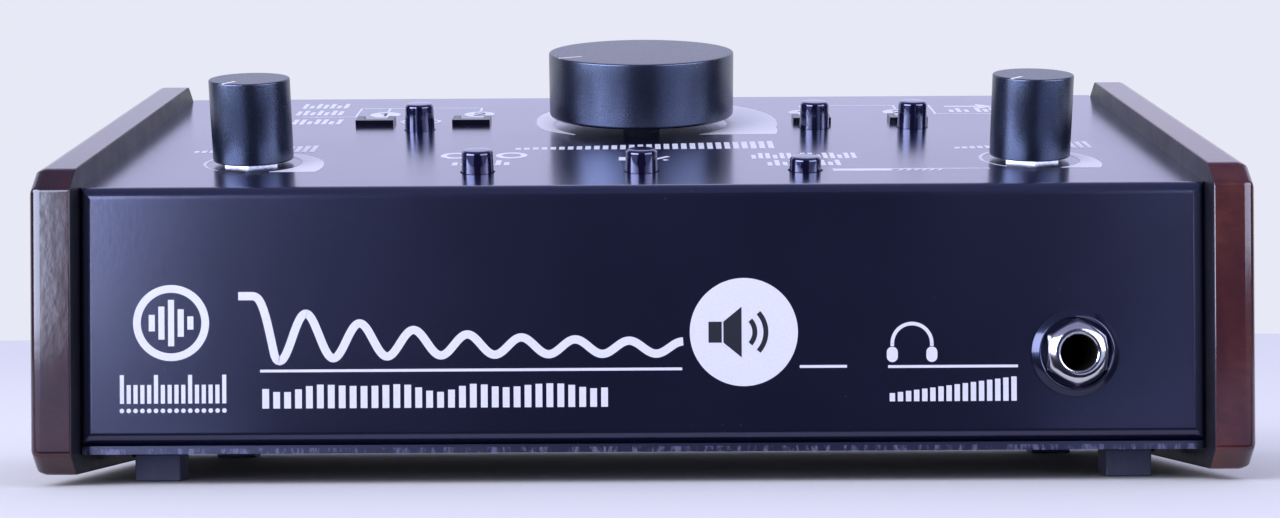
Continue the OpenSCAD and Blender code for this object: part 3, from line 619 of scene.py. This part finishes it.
bezel_profile = [(4.75, 0.0), (7.8, 0.0), (7.95, 0.12), (7.95, 0.3)]
bezel_profile += arc(6.7, 1.1, 0.3, 50, 180, 8)
bezel_profile += [(6.36, 0.6), (6.2, 0.42), (4.75, 0.4)]
bezel_ring = finish_mesh(
    "headphone_bezel_ring", lathe(bezel_profile, 96, closed=True), SOCKET,
    MATERIALS["bezel_plastic"], "case", smooth=40,
)
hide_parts("headphone_socket_bezel")

NUT_FLAT_R = 5.5
NUT_CORNER_R = NUT_FLAT_R / math.cos(math.radians(30))
BUSH_TOP = (FRONT_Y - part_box("headphone_socket")[0].y) / MM
# Heights of the nut: underside, end of the flats, start of the dome, inner face of the lip, top
NUT_LOW, NUT_WAIST, DOME_LOW, LIP_LOW, NUT_TOP = 0.42, 1.5, 1.85, BUSH_TOP + 0.03, BUSH_TOP + 0.9
# Radii of the thread's clearance, of the dome's upper end and of the mouth
THREAD_R, DOME_TOP_R, MOUTH_R = 4.56, 3.75, 3.36
POINTS_PER_FLAT = 12
DOME_STEPS = 9


def nut_ring(bm, radius, z, roundness):
    """Ring of points between the nut's hexagon, at roundness 0, and a circle, at 1."""
    points = []
    for i in range(6 * POINTS_PER_FLAT):
        from_corner = 60 * (i % POINTS_PER_FLAT) / POINTS_PER_FLAT
        hexagon = NUT_FLAT_R / math.cos(math.radians(from_corner - 30))
        r = min(hexagon, NUT_CORNER_R * 0.985) * (1 - roundness) + radius * roundness
        t = 2 * math.pi * i / (6 * POINTS_PER_FLAT) + math.radians(90)
        points.append(bm.verts.new((r * MM * math.cos(t), r * MM * math.sin(t), z * MM)))
    return points


def domed_nut():
    """Hexagon nut, corners up and down, that rounds over into a smooth dome around the socket's mouth."""
    bm = bmesh.new()
    shape = [(NUT_FLAT_R, NUT_LOW, 0.0), (NUT_FLAT_R, NUT_WAIST, 0.0), (5.6, DOME_LOW, 0.25)]
    for i in range(1, DOME_STEPS + 1):
        k = math.radians(90 * i / DOME_STEPS)
        radius = DOME_TOP_R + (NUT_FLAT_R - DOME_TOP_R) * math.cos(k)
        shape.append((radius, DOME_LOW + (NUT_TOP - DOME_LOW) * math.sin(k), min(1.0, 0.35 + 0.65 * i / 5)))
    shape += [(MOUTH_R + 0.15, NUT_TOP - 0.05, 1.0), (MOUTH_R, NUT_TOP - 0.2, 1.0)]
    shape += [(MOUTH_R, LIP_LOW, 1.0), (THREAD_R, LIP_LOW, 1.0), (THREAD_R, NUT_LOW, 1.0)]
    rings = [nut_ring(bm, *row) for row in shape]
    for a, b in zip(rings, rings[1:] + rings[:1]):
        for i in range(len(a)):
            j = (i + 1) % len(a)
            bm.faces.new((a[i], a[j], b[j], b[i]))
    obj = finish_mesh("headphone_nut_domed", bm, SOCKET, MATERIALS["chrome"], "case", smooth=32)
    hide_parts("headphone_socket_nut")


domed_nut()

# ---- Printed marks ----

# Thickness of the ink. The drawing functions give their places and sizes in mm on the panel.
PRINT_T = 0.035


def strip(bm, left, right, low=0.0, high=PRINT_T, closed=False):
    """A flat band between two rows of points, as a thin closed solid."""
    left_low, right_low, left_high, right_high = [
        [bm.verts.new((x * MM, y * MM, z * MM)) for x, y in line] for z in (low, high) for line in (left, right)
    ]
    count = len(left)
    for i in range(count if closed else count - 1):
        j = (i + 1) % count
        bm.faces.new((left_low[i], left_low[j], right_low[j], right_low[i]))
        bm.faces.new((left_high[i], right_high[i], right_high[j], left_high[j]))
        bm.faces.new((left_low[i], left_high[i], left_high[j], left_low[j]))
        bm.faces.new((right_low[i], right_low[j], right_high[j], right_high[i]))
    if not closed:
        for i in (0, count - 1):
            bm.faces.new((left_low[i], right_low[i], right_high[i], left_high[i]))


def stroke(bm, points, width, closed=False):
    """A line of even width through the points."""
    left, right = [], []
    count = len(points)
    for i, (x, y) in enumerate(points):
        a = points[(i - 1) % count] if closed or i > 0 else points[i]
        b = points[(i + 1) % count] if closed or i < count - 1 else points[i]
        run, rise = b[0] - a[0], b[1] - a[1]
        k = width / 2 / math.hypot(run, rise)
        left.append((x - rise * k, y + run * k))
        right.append((x + rise * k, y - run * k))
    strip(bm, left, right, closed=closed)


def ring(bm, cx, cy, outer, inner, start=0, end=360, steps=48):
    whole = end - start == 360
    rows = [arc(cx, cy, r, start, end, steps) for r in (outer, inner)]
    strip(bm, *[row[:-1] if whole else row for row in rows], closed=whole)


def disc(bm, cx, cy, radius, low=0.0, high=PRINT_T, steps=48):
    join(bm, prism(arc(cx, cy, radius, 0, 360, steps)[:-1], low, high))


def patch(bm, outline, low=0.0, high=PRINT_T):
    join(bm, prism(outline, low, high))


def bars(bm, x0, x1, y0, heights, fill=0.62, lean=0.0):
    """A row of upright bars of these heights, each leaning over by lean mm per mm."""
    pitch = (x1 - x0) / len(heights)
    for i, h in enumerate(heights):
        a = x0 + pitch * (i + (1 - fill) / 2)
        b = a + pitch * fill
        patch(bm, [(a, y0), (b, y0), (b + lean * h, y0 + h), (a + lean * h, y0 + h)])


def printed(name, draw, matrix, colour=None):
    bm = bmesh.new()
    draw(bm)
    return finish_mesh(name, bm, matrix, colour or WHITE_INK, "case")


ON_FRONT = front_matrix(0, 0)
ON_TOP = panel_matrix(FRONT_EDGE)


def emblem(bm):
    ring(bm, -85.4, 23.8, 6.9, 5.5)
    for i, h in enumerate((3.0, 6.0, 8.4, 5.0, 2.4)):
        x = -85.4 + (i - 2) * 1.75
        patch(bm, rectangle(x - 0.55, x + 0.55, 23.8 - h / 2, 23.8 + h / 2))


def emblem_scale(bm):
    heights = [5.2 if i % 5 == 0 else 3.4 for i in range(16)]
    bars(bm, -95.0, -75.2, 9.2, heights, 0.60)
    for i in range(16):
        disc(bm, -94.4 + i * 1.24, 7.9, 0.42, steps=16)


WAVE_START = (-70.6, 28.6)
WAVE_L = 78.0
WAVE_PERIOD = 9.75


def wave(bm):
    """A short level line that goes over into a dying wave."""
    x0, y0 = WAVE_START
    steps = 240
    points = [(-73.2, y0), WAVE_START]
    for i in range(1, steps + 1):
        x = x0 + WAVE_L * i / steps
        run = x - x0
        reach = 0.9 + 4.9 * math.exp(-run / 24.0)
        centre = 22.2 - 3.6 * (1 - math.exp(-run / 30.0))
        blend = min(1.0, run / 4.0)
        swing = centre + reach * math.cos(2 * math.pi * run / WAVE_PERIOD)
        points.append((x, (1 - blend) * y0 + blend * swing))
    stroke(bm, points, 1.5)


def front_rules(bm):
    patch(bm, rectangle(-69.3, 7.2, 14.75, 15.25))
    patch(bm, rectangle(28.5, 37.05, 15.05, 15.55))
    patch(bm, rectangle(44.5, 68.0, 14.95, 15.45))


def spectrum(bm):
    dips = [(0.5 + 0.5 * math.sin(0.9 * i)) * (0.6 + 0.4 * math.cos(0.37 * i)) for i in range(32)]
    heights = [4.3 - 1.5 * dip for dip in dips]
    bars(bm, -69.3, -5.9, 8.2, heights, 0.62)


def speaker_sign(bm):
    low, high = PRINT_T, 2 * PRINT_T
    cx, cy = 15.6, 21.6
    patch(bm, rectangle(cx - 3.6, cx - 1.2, cy - 1.9, cy + 1.9), low, high)
    horn = [(cx - 0.9, cy - 1.9), (cx + 2.4, cy - 4.6), (cx + 2.4, cy + 4.6), (cx - 0.9, cy + 1.9)]
    patch(bm, horn, low, high)
    for radius in (3.2, 5.2):
        rows = [arc(cx + 1.6, cy, r, -42, 42, 16) for r in (radius + 0.45, radius - 0.45)]
        strip(bm, *rows, low=low, high=high)


def headphone_sign(bm):
    cx, cy = 48.85, 19.4
    ring(bm, cx, cy, 3.9, 3.25, 0, 180, 32)
    for side in (-1, 1):
        x = cx + side * 3.58
        patch(bm, rectangle(x - 0.325, x + 0.325, cy - 0.5, cy - 0.02))
        patch(bm, arc(x, cy - 1.6, 1.0, 0, 180, 12) + arc(x, cy - 2.4, 1.0, 180, 360, 12))


def headphone_ramp(bm):
    bars(bm, 44.5, 68.0, 8.9, [1.5 + 2.9 * i / 15 for i in range(16)], 0.66)


printed("print_front_emblem", emblem, ON_FRONT)
printed("print_front_emblem_scale", emblem_scale, ON_FRONT)
printed("print_front_wave", wave, ON_FRONT)
printed("print_front_rules", front_rules, ON_FRONT)
printed("print_front_spectrum", spectrum, ON_FRONT)
printed("print_front_disc", lambda bm: disc(bm, 18.4, 21.6, 9.8, steps=72), ON_FRONT)
printed("print_front_speaker_sign", speaker_sign, ON_FRONT, BLACK_INK)
printed("print_front_headphone_sign", headphone_sign, ON_FRONT)
printed("print_front_headphone_ramp", headphone_ramp, ON_FRONT)


def around(cx, cy, radius, turn):
    """Point of a circle, with the turn in degrees clockwise from straight up the panel."""
    t = math.radians(turn)
    return (cx + radius * math.sin(t), cy + radius * math.cos(t))


def between(value, points):
    """Straight-line interpolation through (place, value) points."""
    for (a, va), (b, vb) in zip(points, points[1:]):
        if value <= b:
            k = max(0.0, (value - a) / (b - a))
            return va + (vb - va) * k
    return points[-1][1]


def swoosh(bm, cx, cy, outer, inner, last_turn, cut_y):
    """A crescent that widens clockwise and ends in a straight cut at cut_y.

    outer and inner are (turn, radius) points. The outer edge ends at its last turn, the inner at last_turn.
    """
    first, corner = outer[0][0], outer[-1][0]
    steps = 64
    turns = [first + (corner - first) * i / steps for i in range(steps + 1)]
    out = [around(cx, cy, between(t, outer), t) for t in turns]
    back = [around(cx, cy, between(t, inner), t) for t in turns]
    cut_steps = 10
    x0 = out[-1][0]
    x1 = around(cx, cy, inner[-1][1], last_turn)[0]
    for i in range(1, cut_steps):
        t = corner + (last_turn - corner) * i / cut_steps
        out.append((x0 + (x1 - x0) * i / cut_steps, cut_y))
        back.append(around(cx, cy, between(t, inner), t))
    strip(bm, out, back)


def volume_swoosh(bm):
    outer = [
        (-133, 18.95), (-110, 21.3), (-82, 22.6), (-52, 25.6), (-20, 29.2), (0, 30.5),
        (24, 31.2), (46, 30.6), (70, 29.6), (87, 28.8), (100, 28.7), (115.8, 30.8),
    ]
    swoosh(bm, 0, 66.6, outer, [(-133, 18.6), (146, 18.0)], 141.0, 53.2)


def small_swoosh(side, reach):
    """The crescent round a small knob; reach scales its wide end."""
    outer = [(-142, 9.15), (-90, 9.6), (-30, 10.1), (0, 10.6), (34, 11.4), (70, 12.6), (100, 14.0), (112, 14.9)]
    outer = [(t, r if t < 30 else r * reach) for t, r in outer]
    last_r = 15.9 * reach
    outer.append((math.degrees(math.acos(-8.88 / last_r)), last_r))
    inner = [(-142, 9.0), (60, 9.0), (110, 9.7), (172, 9.7)]
    return lambda bm: swoosh(bm, side * 74.7, 24.4, outer, inner, 156.0, 15.52)


def wedge_scale(x0, x1, s0, low, high, count):
    """A row of bars that rises from low to high."""
    heights = [low + (high - low) * i / (count - 1) for i in range(count)]
    return lambda bm: bars(bm, x0, x1, s0, heights, 0.64)


def mono_label(bm):
    for x in (-36.2, -25.4):
        ring(bm, x, 30.9, 3.1, 1.9, steps=32)
    bars(bm, -32.6, -29.0, 28.0, [3.4, 5.8, 3.4], 0.62)
    bars(bm, -36.6, -25.0, 20.8, [3.0, 5.0, 3.0, 5.0, 3.0, 5.0, 3.0], 0.62)


def mute_label(bm):
    patch(bm, rectangle(-4.4, -2.6, 25.2, 28.4))
    patch(bm, [(-2.4, 25.2), (0.0, 23.1), (0.0, 30.5), (-2.4, 28.4)])
    stroke(bm, [(1.4, 24.6), (5.2, 29.0)], 0.9)
    patch(bm, [(2.2, 28.9), (1.5, 28.2), (2.5, 27.1), (3.0, 27.7)])
    patch(bm, [(4.6, 26.0), (4.1, 25.4), (4.6, 24.7), (5.3, 25.3)])


def solo_label(bm):
    bars(bm, 21.1, 42.0, 26.2, [5.6 if i % 3 else 3.6 for i in range(15)], 0.62)
    bars(bm, 23.8, 38.3, 19.0, [5.4 if i % 2 else 3.4 for i in range(10)], 0.62)


def headphone_line(bm):
    patch(bm, rectangle(36.0, 47.0, 13.5, 15.5))
    bars(bm, 47.6, 56.4, 13.5, [1.4] * 6, 0.45, 0.6)
    patch(bm, rectangle(47.0, 65.6, 15.0, 15.5))


def number_discs(bm):
    for x in (-56.0, -35.4, 35.4, 56.0):
        disc(bm, x, 79.7, 3.35, steps=36)


def numerals(bm):
    low, high = PRINT_T, 2 * PRINT_T
    for x, number in ((-56.0, 1), (-35.4, 2), (35.4, 1), (56.0, 2)):
        if number == 1:
            patch(bm, rectangle(x - 0.25, x + 0.35, 77.9, 81.5), low, high)
            patch(bm, [(x - 1.1, 80.3), (x - 0.27, 80.9), (x - 0.27, 81.5), (x - 1.1, 80.9)], low, high)
        else:
            patch(bm, rectangle(x - 1.2, x + 1.2, 77.9, 78.45), low, high)
            rows = [arc(x, 80.4, r, 170, -32, 16) for r in (1.25, 0.7)]
            strip(bm, rows[0] + [(x - 0.35, 78.47)], rows[1] + [(x - 1.15, 78.47)], low, high)


def brackets(bm):
    """Lines that lead from the marks at the sides to the numbered discs."""
    left = [
        (-61.9, -35.2, 87.75, 88.25), (-62.4, -61.92, 76.7, 88.25), (-56.05, -55.55, 83.5, 87.73),
        (-35.7, -35.2, 83.5, 87.73), (-73.6, -62.42, 76.7, 77.2),
    ]
    right = [
        (35.0, 63.6, 88.25, 88.75), (63.62, 64.1, 76.5, 88.75), (35.0, 35.5, 83.8, 88.23),
        (55.7, 56.2, 83.8, 88.23), (64.12, 78.0, 76.5, 77.0),
    ]
    for line in left + right:
        patch(bm, rectangle(*line))


def arrow(bm, x0, x1, s, head):
    """An arrow along x, with its head at x1."""
    neck = x1 - head
    patch(bm, rectangle(x0, neck, s - 0.7, s + 0.7))
    patch(bm, [(neck + 0.02, s - head * 0.9), (x1, s), (neck + 0.02, s + head * 0.9)])


def rear_left_labels(bm):
    bars(bm, -76.0, -65.3, 88.6, [6.2, 3.8, 6.2, 5.0, 6.2, 3.8, 6.2], 0.64)
    bars(bm, -76.0, -65.3, 79.6, [5.0, 6.0, 3.8, 6.0, 3.8, 6.0, 5.0], 0.64)
    bars(bm, -75.0, -64.0, 68.0, [6.0, 6.0, 3.6, 6.0, 6.0, 3.6, 6.0], 0.64)
    for x in (-49.2, -45.4):
        ring(bm, x, 70.6, 2.5, 1.8, steps=28)


def rear_right_labels(bm):
    arrow(bm, 67.0, 77.9, 86.5, 3.6)
    bars(bm, 67.0, 72.0, 79.0, [3.2, 5.0, 3.2], 0.6)
    bars(bm, 73.0, 81.0, 79.0, [5.8, 3.8, 5.8, 3.8, 5.8], 0.62)


printed("print_volume_swoosh", volume_swoosh, ON_TOP)
printed("print_source_swoosh", small_swoosh(-1, 1.0), ON_TOP)
printed("print_headphone_swoosh", small_swoosh(1, 0.93), ON_TOP)
printed("print_volume_scale", wedge_scale(-25.4, 26.7, 37.0, 1.8, 8.0, 30), ON_TOP)
printed("print_source_scale", wedge_scale(-89.0, -64.6, 35.5, 1.8, 7.2, 16), ON_TOP)
printed("print_headphone_scale", wedge_scale(61.8, 89.6, 35.5, 1.8, 7.2, 18), ON_TOP)
printed("print_mono_sign", mono_label, ON_TOP)
printed("print_mute_sign", mute_label, ON_TOP)
printed("print_solo_marks", solo_label, ON_TOP)
printed("print_headphone_line", headphone_line, ON_TOP)
printed("print_number_discs", number_discs, ON_TOP)
printed("print_numerals", numerals, ON_TOP, BLACK_INK)
printed("print_brackets", brackets, ON_TOP)
printed("print_rear_left_marks", rear_left_labels, ON_TOP)
printed("print_rear_right_marks", rear_right_labels, ON_TOP)

# ---- Camera ----

camera_data = bpy.data.cameras.new("camera")
camera_data.lens = 57.6
camera_data.sensor_width = 36
camera_data.shift_y = 0.055
camera_data.clip_start = 0.01
camera = bpy.data.objects.new("camera", camera_data)
camera.location = (0.0005, -0.4195, 0.0272)
camera.rotation_euler = (math.radians(90.09), math.radians(0.315), math.radians(0.14))
bpy.context.scene.collection.objects.link(camera)
bpy.context.scene.camera = camera

# ---- Studio ----

def area_light(name, place, target, size, power, colour, diffuse, glossy):
    """A soft box that lights the matt part of the surfaces, or shows in the glossy part, or both."""
    data = bpy.data.lights.new(name, "AREA")
    data.shape = "RECTANGLE"
    data.size, data.size_y = size
    data.energy = power
    data.color = colour
    light = bpy.data.objects.new(name, data)
    light.location = place
    light.rotation_euler = (Vector(target) - Vector(place)).to_track_quat("-Z", "Y").to_euler()
    light.visible_camera = False
    light.visible_diffuse = diffuse
    light.visible_glossy = glossy
    bpy.context.scene.collection.objects.link(light)


def sheet(name, corners, finish):
    """A flat sheet that belongs to the studio and not to the object."""
    mesh = bpy.data.meshes.new(name)
    mesh.from_pydata(corners, [], [tuple(range(len(corners)))])
    mesh.materials.append(finish)
    obj = bpy.data.objects.new(name, mesh)
    bpy.context.scene.collection.objects.link(obj)
    return obj


def flag(name, corners, finish):
    """A sheet that only shows in reflections."""
    obj = sheet(name, corners, finish)
    obj.visible_camera = False
    obj.visible_diffuse = False
    obj.visible_shadow = False
    obj.visible_transmission = False
    return obj


def wall(name, radius, start, end, low, high, finish):
    """An upright curved flag around the object. Its angles are in degrees, from the front to the right."""
    steps = 12
    turns = [math.radians(start + (end - start) * i / steps) for i in range(steps + 1)]
    for i, (a, b) in enumerate(zip(turns, turns[1:])):
        ends = [(radius * math.sin(t), -radius * math.cos(t)) for t in (a, b)]
        flag(f"{name}_{i}", [(*ends[0], low), (*ends[1], low), (*ends[1], high), (*ends[0], high)], finish)


def glow(name, colour):
    """A sheet with one even brightness."""
    m, shader, _, _ = material(name)
    setup(shader, color=(0, 0, 0), rough=1.0, spec=0.0)
    shader.inputs["Emission Color"].default_value = (*colour, 1)
    shader.inputs["Emission Strength"].default_value = 1.0
    return m


bpy.context.scene.view_settings.view_transform = "Standard"
world = bpy.data.worlds.new("studio")
world.use_nodes = True
backdrop = world.node_tree.nodes["Background"]
direction = world.node_tree.nodes.new("ShaderNodeTexCoord")
height = world.node_tree.nodes.new("ShaderNodeSeparateXYZ")
sky = world.node_tree.nodes.new("ShaderNodeValToRGB")
world.node_tree.links.new(direction.outputs["Generated"], height.inputs[0])
world.node_tree.links.new(height.outputs["Z"], sky.inputs["Fac"])
world.node_tree.links.new(sky.outputs["Color"], backdrop.inputs["Color"])
SKY = ((0.17, (0.80, 0.815, 0.92)), (0.36, (0.85, 0.86, 1.16)))
for element, (place, colour) in zip(sky.color_ramp.elements, SKY):
    element.position = place
    element.color = (*colour, 1)
bpy.context.scene.world = world

floor_finish, floor_shader, _, _ = material("floor")
setup(floor_shader, color=(0.80, 0.80, 0.80), rough=0.9, spec=0.1)
FLOOR_REACH = 12
FLAG_REACH = 1.7


def level(x, front, rear, z):
    """Corners of a level rectangle, in metres."""
    return [(-x, front, z), (x, front, z), (x, rear, z), (-x, rear, z)]


sheet("floor", level(FLOOR_REACH, -FLOOR_REACH, FLOOR_REACH, 0), floor_finish)

# Dark cloth in front keeps the front panel dark, and the roof cloth dims the upward faces
FLAG = glow("flag_cloth", (0.012, 0.012, 0.03))
ROOF = glow("roof_cloth", (0.22, 0.24, 0.42))
wall("front_flag", FLAG_REACH, -115, 115, 0.0, 2.2, FLAG)
flag("floor_flag", level(1.2, -FLAG_REACH, -0.062, 0.0006), FLAG)
BOUNCE = [(0.085, -0.105), (0.12, -0.30), (0.42, -1.10), (1.10, -0.45), (0.34, -0.105)]
for side, name, colour in ((-1, "left", (0.55, 0.64, 1.05)), (1, "right", (0.4, 0.46, 0.8))):
    flag("bounce_" + name, [(side * x, y, 0.0012) for x, y in BOUNCE], glow(name + "_bounce", colour))
flag("roof_flag", level(1.5, -FLAG_REACH, 0.9, 1.3), ROOF)

BOX_COLOUR = (0.66, 0.73, 1.0)
area_light("left_box", (-0.84, -0.72, 0.40), (-0.07, -0.01, 0.40), (1.2, 0.76), 38.0, BOX_COLOUR, False, True)
area_light("right_box", (0.82, -0.66, 0.42), (0, -0.05, 0.42), (1.1, 0.70), 17.0, BOX_COLOUR, False, True)
area_light("key", (-0.9, -1.0, 0.9), (0, 0, 0.03), (0.9, 0.9), 9.0, (0.93, 0.95, 1.0), True, False)
